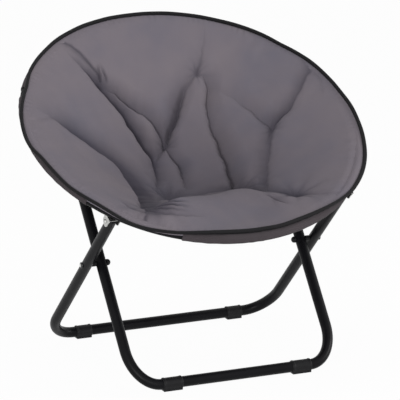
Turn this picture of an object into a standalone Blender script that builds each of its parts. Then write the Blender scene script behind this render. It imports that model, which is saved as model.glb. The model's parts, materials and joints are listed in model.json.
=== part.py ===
"""Folding saucer chair: a padded round seat on a hinged steel hoop, carried by two crossed U-shaped legs.

Metres, +Z up, +Y to the back of the chair, +X to the right of someone facing its front.
The origin is on the floor, under the middle of the chair.
"""

import math

import bmesh
import bpy
import numpy as np
from mathutils import Matrix, Vector

# Running and seating gaps
FIT_GAP = 0.0003
PIN_CLEARANCE = 0.00025

# Seat hoop: a round tube bent to a circle, in two parts that hinge behind its middle
RING_RADIUS = 0.394
RING_TUBE = 0.019
SEAT_TILT = math.radians(27.8)
HINGE_SETBACK = 0.425 * RING_RADIUS

# Crossed legs: the front U stands on the front floor bar and carries the back of the hoop
LEG_TUBE = 0.025
LEG_BEND = 0.066
LEG_BEND_RISE = 0.092
SPACER_LENGTH = 0.010
FRONT_HALF_WIDTH = 0.637 * RING_RADIUS
REAR_HALF_WIDTH = FRONT_HALF_WIDTH + LEG_TUBE + SPACER_LENGTH
FRONT_REACH = 0.201
REAR_REACH = 0.277
PIVOT_HEIGHT = 0.260
BAR_HEIGHT = 0.016
LEG_OVERRUN = 0.0085
PLUG_DOME = 0.0025

# Clevis brackets under the hoop, with the bolt that each leg turns on
PIN_DROP = 0.029
FRONT_PIN_SETBACK = 0.015
BRACKET_WALL = 0.002
BRACKET_SIDE_CLEARANCE = 0.0005
BRACKET_LENGTH = 0.030
BRACKET_TAIL = 0.0125
BOLT_RADIUS = 0.003
BOLT_HEAD_RADIUS = 0.0055
BOLT_HEAD_HEIGHT = 0.0032
NUT_RADIUS = 0.0058
NUT_HEIGHT = 0.005

# Scissor bolt where the legs cross
SCISSOR_RADIUS = 0.0035
SCISSOR_HEAD_RADIUS = 0.0075
SCISSOR_HEAD_HEIGHT = 0.0035
SPACER_RADIUS = 0.0065
CAP_NUT_RADIUS = 0.0075
CAP_NUT_HEIGHT = 0.009

# Hoop hinge: one leaf under each tube end, riveted eye to eye
LEAF_THICKNESS = 0.002
LEAF_EYE_RADIUS = 0.0068
LEAF_REACH = 0.0135
EYE_CLEARANCE = 0.0006
RIVET_RADIUS = 0.0025
RIVET_HEAD_RADIUS = 0.005
RIVET_HEAD_HEIGHT = 0.0018
TUBE_END_GAP = 0.0008

# Feet: sleeves on the floor bars with a flat sole
FOOT_SETBACK = {"front": 0.0665, "rear": 0.0715}
FOOT_LENGTH = {"front": 0.048, "rear": 0.039}
FOOT_WALL = 0.0016
FOOT_SOLE_WIDTH = 0.021

# Fabric sleeve round the hoop, open where the brackets are, and the bound edge above it
SLEEVE_WALL = 0.0017
SLEEVE_HINGE_GAP = 0.0165
SLEEVE_BRACKET_GAP = 0.026
SLEEVE_SIDE_END = math.radians(57)
FRONT_SLEEVE_LEFT = math.radians(-23.5)
FRONT_SLEEVE_RIGHT = math.radians(40)
BINDING_RADIUS = 0.0038
BINDING_OUTSET = 0.0045
BINDING_LIFT = 0.0155

# Padded bowl: a sagging shell with a crown between the rim and the middle
RIM_LIP_HEIGHT = 0.0072
SAG_DEPTH = 0.200
SAG_ROUNDING = 0.150
SAG_FORWARD = 0.010
UNDERSIDE_LIFT = 0.006
PAD_EDGE = 0.007
PAD_CROWN = 0.040
PAD_CROWN_POWER = 6
CREASE_DEPTH = 0.019
CREASE_WIDTH = 0.030
ROLL_FRONT_WIDTH = 0.085
ROLL_BACK_WIDTH = 0.042
CUSHION_SPLIT = 0.0006

# Pulled creases of the padding, as (x, up the seat) points from the rim inwards
CREASES = [
    [(-0.21, 0.275), (-0.15, 0.205), (-0.10, 0.121), (-0.07, 0.024), (-0.09, -0.09)],
    [(-0.10, 0.19), (-0.05, 0.16), (-0.017, 0.084), (0.0, 0.013), (-0.02, -0.10)],
    [(-0.32, 0.065), (-0.256, 0.026), (-0.174, -0.02), (-0.185, -0.12), (-0.21, -0.23)],
    [(0.08, 0.216), (0.033, 0.16), (-0.018, 0.083)],
    [(0.13, 0.29), (0.112, 0.21), (0.110, 0.034), (0.088, -0.12)],
    [(0.34, 0.14), (0.243, 0.05), (0.20, -0.01), (0.14, -0.14)],
    [(0.165, 0.165), (0.223, 0.032)],
]

# The knee roll's crest across the front: x, how far up the seat, height above the padding
KNEE_ROLL = [
    (-0.300, -0.340, 0.000),
    (-0.210, -0.300, 0.025),
    (-0.115, -0.250, 0.040),
    (0.000, -0.205, 0.048),
    (0.057, -0.190, 0.050),
    (0.105, -0.222, 0.046),
    (0.158, -0.285, 0.034),
    (0.300, -0.340, 0.000),
]

# Facets
TUBE_SIDES_RESOLUTION = 5
BEND_STEPS = 8
HOOP_STEP = math.radians(5.0)
ROUND_SIDES = 16
PAD_SPOKES = 72
PAD_TOP_RINGS = 16
PAD_UNDER_RINGS = 6

# Colours as linear RGB, with roughness and metallic
BLACK_STEEL = ("black_steel", (0.012, 0.012, 0.013), 0.42, 0.0)
ZINC = ("zinc_plate", (0.55, 0.55, 0.53), 0.38, 1.0)
BLACK_PLASTIC = ("black_plastic", (0.010, 0.010, 0.011), 0.55, 0.0)
GREY_FABRIC = ("grey_fabric", (0.125, 0.113, 0.122), 0.85, 0.0)
BLACK_TAPE = ("black_tape", (0.010, 0.010, 0.010), 0.80, 0.0)

# Derived places, in the side view as (y, z) seen from the scissor bolt
RING_TUBE_RADIUS = RING_TUBE / 2
LEG_RADIUS = LEG_TUBE / 2
SLEEVE_INNER = RING_TUBE_RADIUS + FIT_GAP
SLEEVE_OUTER = SLEEVE_INNER + SLEEVE_WALL
HINGE_DROP = RING_TUBE_RADIUS + LEAF_EYE_RADIUS + EYE_CLEARANCE
HINGE_HALF_WIDTH = math.sqrt(RING_RADIUS**2 - HINGE_SETBACK**2)
HINGE_ANGLE = math.acos(-HINGE_SETBACK / RING_RADIUS)
UP_SEAT = Vector((math.cos(SEAT_TILT), math.sin(SEAT_TILT)))
OUT_OF_SEAT = Vector((-math.sin(SEAT_TILT), math.cos(SEAT_TILT)))
REAR_PIN_SETBACK = math.sqrt(RING_RADIUS**2 - FRONT_HALF_WIDTH**2)
FRONT_PIN_PLACE = FRONT_PIN_SETBACK - math.sqrt(RING_RADIUS**2 - REAR_HALF_WIDTH**2)


def hoop_middle():
    """The hoop's centre from which both brackets' pins lie on the straight lines of their legs."""
    rise = PIVOT_HEIGHT - BAR_HEIGHT
    front_leg = Vector((FRONT_REACH, rise)).normalized()
    rear_leg = Vector((-REAR_REACH, rise)).normalized()
    rear_pin = UP_SEAT * REAR_PIN_SETBACK - OUT_OF_SEAT * PIN_DROP
    front_pin = UP_SEAT * FRONT_PIN_PLACE - OUT_OF_SEAT * PIN_DROP
    across = [Vector((-leg.y, leg.x)) for leg in (front_leg, rear_leg)]
    pivot = Vector((0.0, PIVOT_HEIGHT))
    offsets = [across[0].dot(pivot - rear_pin), across[1].dot(pivot - front_pin)]
    return Matrix((across[0], across[1])).inverted() @ Vector(offsets)


FROM_BOLT = hoop_middle()
BINDING_RING = RING_RADIUS + BINDING_OUTSET
BINDING_LEAN = BINDING_LIFT * math.sin(SEAT_TILT)
REACH_FRONT = BINDING_RING * math.cos(SEAT_TILT) + BINDING_LEAN + BINDING_RADIUS
REACH_BACK = max(
    BINDING_RING * math.cos(SEAT_TILT) - BINDING_LEAN + BINDING_RADIUS,
    RING_RADIUS * math.cos(SEAT_TILT) + SLEEVE_OUTER,
)
SEAT_Y = (REACH_FRONT - REACH_BACK) / 2
PIVOT_Y = SEAT_Y - FROM_BOLT.x
SEAT_Z = FROM_BOLT.y
SEAT_FRAME = Matrix.Translation((0, SEAT_Y, SEAT_Z)) @ Matrix.Rotation(SEAT_TILT, 4, "X")


def principled(look):
    """A material with one colour, roughness and metallic value."""
    name, colour, roughness, metallic = look
    material = bpy.data.materials.get(name)
    if material:
        return material
    material = bpy.data.materials.new(name)
    material.use_nodes = True
    shader = material.node_tree.nodes["Principled BSDF"]
    shader.inputs["Base Color"].default_value = (*colour, 1.0)
    shader.inputs["Roughness"].default_value = roughness
    shader.inputs["Metallic"].default_value = metallic
    return material


def axis_empty(name, matrix):
    """An empty on a joint's axis, which the pieces of one moving body hang from."""
    empty = bpy.data.objects.new(name, None)
    empty.empty_display_size = 0.05
    empty.matrix_world = matrix
    bpy.context.scene.collection.objects.link(empty)
    return empty


def place(name, mesh, look, matrix, carrier):
    """An object for a mesh, standing at matrix in the world and hung from its body's empty."""
    mesh.materials.clear()
    mesh.materials.append(principled(look))
    mesh.shade_smooth()
    mesh.set_sharp_from_angle(angle=math.radians(35))
    obj = bpy.data.objects.new(name, mesh)
    bpy.context.scene.collection.objects.link(obj)
    obj.parent = carrier
    obj.matrix_world = matrix
    return obj


def finished(name, shape):
    """A mesh from a bmesh, with its faces pointing out."""
    bmesh.ops.remove_doubles(shape, verts=shape.verts, dist=1e-6)
    bmesh.ops.recalc_face_normals(shape, faces=shape.faces)
    mesh = bpy.data.meshes.new(name)
    shape.to_mesh(mesh)
    shape.free()
    return mesh


def tube_mesh(name, points, radius):
    """A round bar along a path: a bevelled curve with filled ends, made a mesh."""
    curve = bpy.data.curves.new(name, "CURVE")
    curve.dimensions = "3D"
    curve.bevel_depth = radius
    curve.bevel_resolution = TUBE_SIDES_RESOLUTION
    curve.use_fill_caps = True
    spline = curve.splines.new("POLY")
    spline.points.add(len(points) - 1)
    for target, point in zip(spline.points, points):
        target.co = (*point, 1.0)
    guide = bpy.data.objects.new(name + "_path", curve)
    bpy.context.scene.collection.objects.link(guide)
    bpy.context.view_layer.update()
    swept = bpy.data.meshes.new_from_object(guide.evaluated_get(bpy.context.evaluated_depsgraph_get()))
    bpy.data.objects.remove(guide)
    shape = bmesh.new()
    shape.from_mesh(swept)
    return finished(name, shape)


def turned_mesh(name, profile):
    """A turned piece on the X axis: (x, radius) points, from one end of the axis to the other."""
    shape = bmesh.new()
    verts = [shape.verts.new((x, 0.0, radius)) for x, radius in profile]
    edges = [shape.edges.new(pair) for pair in zip(verts, verts[1:])]
    bmesh.ops.spin(
        shape,
        geom=verts + edges,
        cent=(0, 0, 0),
        axis=(1, 0, 0),
        angle=2 * math.pi,
        steps=ROUND_SIDES,
        use_merge=True,
    )
    return finished(name, shape)


def plate_mesh(name, outline, low, high):
    """A plate square to X, from its (y, z) outline."""
    shape = bmesh.new()
    face = shape.faces.new([shape.verts.new((low, y, z)) for y, z in outline])
    pushed = bmesh.ops.extrude_face_region(shape, geom=[face])
    moved = [item for item in pushed["geom"] if isinstance(item, bmesh.types.BMVert)]
    bmesh.ops.translate(shape, verts=moved, vec=(high - low, 0, 0))
    return finished(name, shape)


def cut(obj, mesh, matrix):
    """Takes a closed cutter out of an object with a Boolean."""
    cutter = bpy.data.objects.new(obj.name + "_cutter", mesh)
    bpy.context.scene.collection.objects.link(cutter)
    cutter.matrix_world = matrix
    cutter.hide_render = True
    cutter.display_type = "WIRE"
    modifier = obj.modifiers.new("cut", "BOOLEAN")
    modifier.operation = "DIFFERENCE"
    modifier.object = cutter


def arc(centre, radius, start, end, steps):
    """Points of an arc in a plane, both ends included."""
    angles = np.linspace(start, end, steps + 1)
    return [(centre[0] + radius * math.cos(a), centre[1] + radius * math.sin(a)) for a in angles]


def hoop_path(ring, lift, start, end):
    """Points round the hoop in the seat's frame, by the angle from its front towards the right."""
    steps = max(2, round((end - start) / HOOP_STEP))
    angles = np.linspace(start, end, steps + 1)
    return [(ring * math.sin(a), -ring * math.cos(a), lift) for a in angles]


def sleeve_mesh(name, start, end):
    """A fabric tunnel round the hoop: a shell between two circles, carried along the arc."""
    steps = max(2, round((end - start) / HOOP_STEP))
    sides = np.linspace(0, 2 * math.pi, ROUND_SIDES - 3, endpoint=False)
    shape = bmesh.new()
    loops = []
    for a in np.linspace(start, end, steps + 1):
        rows = []
        for radius in (SLEEVE_OUTER, SLEEVE_INNER / math.cos(math.pi / len(sides)) + FIT_GAP):
            ring = RING_RADIUS + radius * np.cos(sides)
            points = zip(ring * math.sin(a), -ring * math.cos(a), radius * np.sin(sides))
            rows.append([shape.verts.new(point) for point in points])
        loops.append(rows)
    count = len(sides)
    for first, second in zip(loops, loops[1:]):
        for wall in (0, 1):
            for i in range(count):
                j = (i + 1) % count
                shape.faces.new((first[wall][i], first[wall][j], second[wall][j], second[wall][i]))
    for outer, inner in (loops[0], loops[-1]):
        for i in range(count):
            j = (i + 1) % count
            shape.faces.new((outer[i], outer[j], inner[j], inner[i]))
    return finished(name, shape)


def distance_to_path(x, up, path):
    """How far points lie from a line of straight runs, in the seat's plane."""
    nearest = np.full(np.shape(x), 1.0)
    for (x0, u0), (x1, u1) in zip(path, path[1:]):
        run = np.array((x1 - x0, u1 - u0))
        along = np.clip(((x - x0) * run[0] + (up - u0) * run[1]) / (run @ run), 0, 1)
        nearest = np.minimum(nearest, np.hypot(x - x0 - along * run[0], up - u0 - along * run[1]))
    return nearest


def underside(x, up):
    """Height of the bowl's underside: a rounded cone that sags deepest in front of the middle."""
    rim = PAD_RIM_INNER
    share = np.clip(np.hypot(x, up) / rim, 0, 1)
    drawn = np.hypot(x, up + SAG_FORWARD * (1 - share**2))
    slope = np.hypot(rim, SAG_ROUNDING) - SAG_ROUNDING
    return UNDERSIDE_LIFT - SAG_DEPTH * (np.hypot(rim, SAG_ROUNDING) - np.hypot(drawn, SAG_ROUNDING)) / slope


def knee_roll(x, up):
    """Height of the roll under the knees: a ridge along its crest, steeper to the back than to the front."""
    places, crests, heights = np.array(KNEE_ROLL).T
    from_crest = up - np.interp(x, places, crests)
    width = np.where(from_crest > 0, ROLL_BACK_WIDTH, ROLL_FRONT_WIDTH)
    return np.interp(x, places, heights) * np.exp(-((from_crest / width) ** 2))


def padding(x, up):
    """Thickness of the padding: full inside, thin at the rim, raised in the roll, drawn in along the creases."""
    share = np.clip(np.hypot(x, up) / PAD_RIM_OUTER, 0, 1)
    crown = 1 - share**PAD_CROWN_POWER
    pull = np.zeros(np.shape(x))
    for path in CREASES:
        pull = np.maximum(pull, np.exp(-((distance_to_path(x, up, path) / CREASE_WIDTH) ** 2)))
    return PAD_EDGE + crown * (PAD_CROWN + knee_roll(x, up) - CREASE_DEPTH * pull)


# The hoop's facets cut inside its circle, so the bowl's rims keep clear of their flats
FLAT_OF_FACET = math.cos(HOOP_STEP * 0.6)
PAD_RIM_INNER = (RING_RADIUS - SLEEVE_OUTER) * FLAT_OF_FACET - FIT_GAP
PAD_RIM_OUTER = BINDING_RING * FLAT_OF_FACET - BINDING_RADIUS - FIT_GAP
LIP_UNDER = SLEEVE_OUTER + FIT_GAP


def bowl_shape():
    """The whole padded bowl in the seat's frame: rings of points over the top and back underneath."""
    angles = np.linspace(0, 2 * math.pi, PAD_SPOKES, endpoint=False)
    shape = bmesh.new()

    def ring(radius, height):
        x = radius * np.sin(angles)
        up = -radius * np.cos(angles)
        return [shape.verts.new(point) for point in zip(x, up, np.broadcast_to(height(x, up), x.shape))]

    def top(x, up):
        return underside(x, up) + padding(x, up)

    rings = []
    inner_rings = np.linspace(0, 1, PAD_TOP_RINGS + 1)[1:]
    for share in inner_rings:
        rings.append(ring(share * PAD_RIM_INNER, top))
    rings.append(ring(PAD_RIM_OUTER, lambda x, up: LIP_UNDER + RIM_LIP_HEIGHT))
    rings.append(ring(PAD_RIM_OUTER, lambda x, up: LIP_UNDER + 0 * x))
    rings.append(ring(PAD_RIM_INNER, lambda x, up: LIP_UNDER + 0 * x))
    for share in np.linspace(1, 0, PAD_UNDER_RINGS + 1)[:-1]:
        rings.append(ring(share * PAD_RIM_INNER, underside))
    count = len(angles)
    for first, second in zip(rings, rings[1:]):
        for i in range(count):
            j = (i + 1) % count
            shape.faces.new((first[i], first[j], second[j], second[i]))
    shape.faces.new(rings[0])
    shape.faces.new(rings[-1])
    bmesh.ops.poke(shape, faces=[face for face in shape.faces if len(face.verts) > 4])
    bmesh.ops.triangulate(shape, faces=shape.faces)
    return shape


def cushion_mesh(name, keep_back):
    """One side of the padded bowl, cut square to the seat along the hoop's hinge line."""
    shape = bowl_shape()
    side = 1 if keep_back else -1
    cut_at = HINGE_SETBACK + side * CUSHION_SPLIT / 2
    everything = shape.verts[:] + shape.edges[:] + shape.faces[:]
    found = bmesh.ops.bisect_plane(
        shape,
        geom=everything,
        plane_co=(0, cut_at, 0),
        plane_no=(0, -side, 0),
        clear_outer=True,
        dist=1e-6,
    )
    rim = [item for item in found["geom_cut"] if isinstance(item, bmesh.types.BMEdge)]
    bmesh.ops.triangle_fill(shape, edges=rim, use_beauty=True, normal=(0, side, 0))
    return finished(name, shape)


def build():
    for old in list(bpy.data.objects):
        bpy.data.objects.remove(old)

    # Joint axes
    rear_pin = SEAT_FRAME @ Vector((0, REAR_PIN_SETBACK, -PIN_DROP))
    front_pin = SEAT_FRAME @ Vector((0, FRONT_PIN_PLACE, -PIN_DROP))
    hinge = SEAT_FRAME @ Vector((0, HINGE_SETBACK, -HINGE_DROP))
    turn = Matrix.Rotation(SEAT_TILT, 4, "X")
    hoop_carrier = {
        "front": axis_empty("front_hoop_axis", Matrix.Translation(hinge) @ turn),
        "rear": axis_empty("rear_hoop_axis", Matrix.Translation(rear_pin) @ turn),
    }

    # Crossed legs, each modelled in its own plane with Y up the leg and its pin at the origin
    legs = {
        "front": (FRONT_HALF_WIDTH, rear_pin, -FRONT_REACH),
        "rear": (REAR_HALF_WIDTH, front_pin, REAR_REACH),
    }
    scissor = Vector((0, PIVOT_Y, PIVOT_HEIGHT))
    leg_carrier = {}
    for side, (half, pin, reach) in legs.items():
        bar = Vector((0, PIVOT_Y + reach, BAR_HEIGHT))
        along = pin - bar
        lean = math.atan2(along.z, along.y)
        frame = Matrix.Translation(pin) @ Matrix.Rotation(lean, 4, "X")
        carrier = axis_empty(side + "_legs_axis", frame)
        leg_carrier[side] = carrier
        length = along.length
        corner = half - LEG_BEND
        low = -length + LEG_BEND_RISE
        bend = arc((0, 0), 1.0, math.pi, 1.5 * math.pi, BEND_STEPS)
        left = [(LEG_BEND * x - corner, LEG_BEND_RISE * y + low) for x, y in bend]
        right = [(-x, y) for x, y in reversed(left)]
        route = [(-half, LEG_OVERRUN)] + left + right + [(half, LEG_OVERRUN)]
        points = [(x, y, 0.0) for x, y in route]
        name = side + "_leg_frame"
        tube = place(name, tube_mesh(name, points, LEG_RADIUS), BLACK_STEEL, frame, carrier)
        crossing = (scissor - bar).length - length
        for mirror, hand in ((-1, "left"), (1, "right")):
            x = mirror * half
            bores = ((0.0, BOLT_RADIUS), (crossing, SCISSOR_RADIUS))
            for y, radius in bores:
                hole = radius + PIN_CLEARANCE
                ends = ((-LEG_TUBE, 0), (-LEG_TUBE, hole), (LEG_TUBE, hole), (LEG_TUBE, 0))
                drill = turned_mesh("drill", ends)
                cut(tube, drill, frame @ Matrix.Translation((x, y, 0)))
            # Domed plastic plug that closes the tube's upper end
            dome = turned_mesh("leg_plug", (
                (FIT_GAP, 0.0),
                (FIT_GAP, LEG_RADIUS),
                (FIT_GAP + PLUG_DOME * 0.4, LEG_RADIUS * 0.94),
                (FIT_GAP + PLUG_DOME * 0.8, LEG_RADIUS * 0.70),
                (FIT_GAP + PLUG_DOME, 0.0),
            ))
            up_leg = Matrix.Translation((x, LEG_OVERRUN, 0)) @ Matrix.Rotation(math.pi / 2, 4, "Z")
            place(f"{side}_leg_plug_{hand}", dome, BLACK_PLASTIC, frame @ up_leg, carrier)
            # Foot sleeve with a flat sole, level with the floor
            inside = LEG_RADIUS + FIT_GAP
            outside = inside + FOOT_WALL
            half_sole = FOOT_SOLE_WIDTH / 2
            waist = math.asin(half_sole / outside)
            skirt = arc((0, 0), outside, -math.pi / 2 + waist, 1.5 * math.pi - waist, ROUND_SIDES)
            outline = skirt + [(-half_sole, -BAR_HEIGHT), (half_sole, -BAR_HEIGHT)]
            start = half - FOOT_SETBACK[side]
            ends = sorted((mirror * start, mirror * (start - FOOT_LENGTH[side])))
            foot_name = f"{side}_foot_{hand}"
            foot = place(foot_name, plate_mesh(foot_name, outline, *ends), BLACK_PLASTIC,
                         Matrix.Translation(bar), carrier)
            bore = inside / math.cos(math.pi / (4 + 2 * TUBE_SIDES_RESOLUTION))
            ream = turned_mesh("ream", ((-half, 0), (-half, bore), (half, bore), (half, 0)))
            cut(foot, ream, Matrix.Translation(bar))

    # Scissor bolt: head, shank and plastic spacer stay with the rear legs, cap nut and stub with the front legs
    rear_outer = REAR_HALF_WIDTH + LEG_RADIUS + FIT_GAP
    rear_inner = REAR_HALF_WIDTH - LEG_RADIUS - FIT_GAP
    front_outer = FRONT_HALF_WIDTH + LEG_RADIUS + FIT_GAP
    front_inner = FRONT_HALF_WIDTH - LEG_RADIUS - FIT_GAP
    for mirror, hand in ((-1, "left"), (1, "right")):
        side_view = Matrix.Translation(scissor) @ Matrix.Rotation(0 if mirror > 0 else math.pi, 4, "Z")
        bolt = turned_mesh("scissor_bolt", (
            (front_outer, 0.0),
            (front_outer, SCISSOR_RADIUS),
            (rear_outer, SCISSOR_RADIUS),
            (rear_outer, SCISSOR_HEAD_RADIUS),
            (rear_outer + SCISSOR_HEAD_HEIGHT * 0.5, SCISSOR_HEAD_RADIUS * 0.92),
            (rear_outer + SCISSOR_HEAD_HEIGHT, SCISSOR_HEAD_RADIUS * 0.55),
            (rear_outer + SCISSOR_HEAD_HEIGHT, 0.0),
        ))
        place(f"scissor_bolt_{hand}", bolt, ZINC, side_view, leg_carrier["rear"])
        collar = turned_mesh("scissor_spacer", (
            (front_outer, 0.0),
            (front_outer, SPACER_RADIUS),
            (rear_inner, SPACER_RADIUS),
            (rear_inner, 0.0),
        ))
        spacer = place(f"scissor_spacer_{hand}", collar, BLACK_PLASTIC, side_view, leg_carrier["rear"])
        hole = SCISSOR_RADIUS + PIN_CLEARANCE
        ends = ((0.5 * front_outer, 0), (0.5 * front_outer, hole), (2 * rear_outer, hole), (2 * rear_outer, 0))
        cut(spacer, turned_mesh("drill", ends), side_view)
        nut = turned_mesh("scissor_nut", (
            (front_inner - CAP_NUT_HEIGHT, 0.0),
            (front_inner - CAP_NUT_HEIGHT, CAP_NUT_RADIUS * 0.5),
            (front_inner - CAP_NUT_HEIGHT * 0.75, CAP_NUT_RADIUS * 0.86),
            (front_inner - CAP_NUT_HEIGHT * 0.4, CAP_NUT_RADIUS),
            (front_inner, CAP_NUT_RADIUS),
            (front_inner, SCISSOR_RADIUS),
            (front_outer - 2 * FIT_GAP, SCISSOR_RADIUS),
            (front_outer - 2 * FIT_GAP, 0.0),
        ))
        place(f"scissor_nut_{hand}", nut, BLACK_PLASTIC, side_view, leg_carrier["front"])

    # Hoop tubes
    end_turn = TUBE_END_GAP / RING_RADIUS
    arcs = {
        "front": (-HINGE_ANGLE + end_turn, HINGE_ANGLE - end_turn),
        "rear": (HINGE_ANGLE + end_turn, 2 * math.pi - HINGE_ANGLE - end_turn),
    }
    for side, (start, end) in arcs.items():
        name = side + "_hoop"
        mesh = tube_mesh(name, hoop_path(RING_RADIUS, 0.0, start, end), RING_TUBE_RADIUS)
        place(name, mesh, BLACK_STEEL, SEAT_FRAME, hoop_carrier[side])
        name = side + "_binding"
        mesh = tube_mesh(name, hoop_path(BINDING_RING, BINDING_LIFT, start, end), BINDING_RADIUS)
        place(name, mesh, BLACK_TAPE, SEAT_FRAME, hoop_carrier[side])

    # Clevis brackets and their bolts
    top = -RING_TUBE_RADIUS - FIT_GAP
    tail = -PIN_DROP - BRACKET_TAIL
    gap = LEG_RADIUS + BRACKET_SIDE_CLEARANCE
    outer = gap + BRACKET_WALL
    places = {
        "front": (REAR_HALF_WIDTH, FRONT_PIN_PLACE, FRONT_PIN_PLACE - FRONT_PIN_SETBACK / 2),
        "rear": (FRONT_HALF_WIDTH, REAR_PIN_SETBACK, REAR_PIN_SETBACK),
    }
    for side, (half, pin_up, middle) in places.items():
        half_length = BRACKET_LENGTH / 2
        lobe = arc((pin_up, -PIN_DROP), BRACKET_TAIL, math.pi, 2 * math.pi, ROUND_SIDES // 2)
        shoulders = [(middle + half_length, top), (middle - half_length, top)]
        for mirror, hand in ((-1, "left"), (1, "right")):
            frame = SEAT_FRAME @ Matrix.Translation((mirror * half, 0, 0))
            name = f"{side}_bracket_{hand}"
            bracket = place(name, plate_mesh(name, lobe + shoulders, -outer, outer), ZINC, frame, hoop_carrier[side])
            length = BRACKET_LENGTH
            slot = [(middle - length, tail - length), (middle + length, tail - length),
                    (middle + length, top - BRACKET_WALL), (middle - length, top - BRACKET_WALL)]
            cut(bracket, plate_mesh("slot", slot, -gap, gap), frame)
            hole = BOLT_RADIUS + PIN_CLEARANCE
            drill = turned_mesh("drill", ((-2 * outer, 0), (-2 * outer, hole), (2 * outer, hole), (2 * outer, 0)))
            on_pin = frame @ Matrix.Translation((0, pin_up, -PIN_DROP))
            cut(bracket, drill, on_pin)
            face = outer + FIT_GAP
            bolt = turned_mesh("bracket_bolt", (
                (-face - NUT_HEIGHT, 0.0),
                (-face - NUT_HEIGHT, NUT_RADIUS * 0.7),
                (-face - NUT_HEIGHT * 0.8, NUT_RADIUS),
                (-face, NUT_RADIUS),
                (-face, BOLT_RADIUS),
                (face, BOLT_RADIUS),
                (face, BOLT_HEAD_RADIUS),
                (face + BOLT_HEAD_HEIGHT * 0.6, BOLT_HEAD_RADIUS * 0.85),
                (face + BOLT_HEAD_HEIGHT, BOLT_HEAD_RADIUS * 0.4),
                (face + BOLT_HEAD_HEIGHT, 0.0),
            ))
            outwards = on_pin @ Matrix.Rotation(0 if mirror > 0 else math.pi, 4, "Z")
            place(f"{side}_bracket_bolt_{hand}", bolt, ZINC, outwards, hoop_carrier[side])

    # Hinge leaves: the front part's leaf lies outside the rear part's, and one rivet joins their eyes
    for mirror, hand in ((-1, "left"), (1, "right")):
        on_hinge = SEAT_FRAME @ Matrix.Translation((mirror * HINGE_HALF_WIDTH, HINGE_SETBACK, -HINGE_DROP))
        shoulder = HINGE_DROP - RING_TUBE_RADIUS - FIT_GAP
        for side, towards, layer in (("front", -1, 1), ("rear", 1, -1)):
            eye = arc((0, 0), LEAF_EYE_RADIUS, -math.pi / 2, math.pi / 2, ROUND_SIDES // 2)
            arm = [(-FIT_GAP - TUBE_END_GAP, LEAF_EYE_RADIUS), (-FIT_GAP - TUBE_END_GAP, shoulder),
                   (-LEAF_REACH, shoulder), (-LEAF_REACH, 0.0), (-LEAF_EYE_RADIUS, -LEAF_EYE_RADIUS)]
            outline = [(-towards * y, z) for y, z in eye + arm]
            near = mirror * layer * FIT_GAP / 2
            far = near + mirror * layer * LEAF_THICKNESS
            name = f"{side}_hinge_leaf_{hand}"
            leaf = place(name, plate_mesh(name, outline, *sorted((near, far))), ZINC, on_hinge, hoop_carrier[side])
            hole = RIVET_RADIUS + PIN_CLEARANCE
            reach = 2 * LEAF_THICKNESS
            drill = turned_mesh("drill", ((-reach, 0), (-reach, hole), (reach, hole), (reach, 0)))
            cut(leaf, drill, on_hinge)
        face = FIT_GAP / 2 + LEAF_THICKNESS + FIT_GAP
        rivet = turned_mesh("hinge_rivet", (
            (-face - RIVET_HEAD_HEIGHT, 0.0),
            (-face - RIVET_HEAD_HEIGHT, RIVET_HEAD_RADIUS * 0.6),
            (-face, RIVET_HEAD_RADIUS),
            (-face, RIVET_RADIUS),
            (face, RIVET_RADIUS),
            (face, RIVET_HEAD_RADIUS),
            (face + RIVET_HEAD_HEIGHT, RIVET_HEAD_RADIUS * 0.6),
            (face + RIVET_HEAD_HEIGHT, 0.0),
        ))
        place(f"hinge_rivet_{hand}", rivet, ZINC, on_hinge, hoop_carrier["front"])

    # Fabric sleeves round the hoop, the padded bowl in two sides of its fold line
    stop = SLEEVE_HINGE_GAP / RING_RADIUS
    opening = SLEEVE_BRACKET_GAP / RING_RADIUS
    rear_bracket = math.pi - math.asin(FRONT_HALF_WIDTH / RING_RADIUS)
    whole = 2 * math.pi
    sleeves = {
        "sleeve_left": ("front", -HINGE_ANGLE + stop, -SLEEVE_SIDE_END),
        "sleeve_front": ("front", FRONT_SLEEVE_LEFT, FRONT_SLEEVE_RIGHT),
        "sleeve_right": ("front", SLEEVE_SIDE_END, HINGE_ANGLE - stop),
        "sleeve_rear_right": ("rear", HINGE_ANGLE + stop, rear_bracket - opening),
        "sleeve_back": ("rear", rear_bracket + opening, whole - rear_bracket - opening),
        "sleeve_rear_left": ("rear", whole - rear_bracket + opening, whole - HINGE_ANGLE - stop),
    }
    for name, (side, start, end) in sleeves.items():
        place(name, sleeve_mesh(name, start, end), GREY_FABRIC, SEAT_FRAME, hoop_carrier[side])
    place("seat_cushion", cushion_mesh("seat_cushion", False), GREY_FABRIC, SEAT_FRAME, hoop_carrier["front"])
    place("back_cushion", cushion_mesh("back_cushion", True), GREY_FABRIC, SEAT_FRAME, hoop_carrier["rear"])
    bpy.context.view_layer.update()


build()
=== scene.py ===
"""A padded folding saucer chair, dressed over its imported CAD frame.

The sections follow the chair as it is put together: legs, feet, fittings, hoop, bowl and rim.
"""

import json
import math

import bpy
import numpy as np
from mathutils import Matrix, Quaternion, Vector

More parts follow.
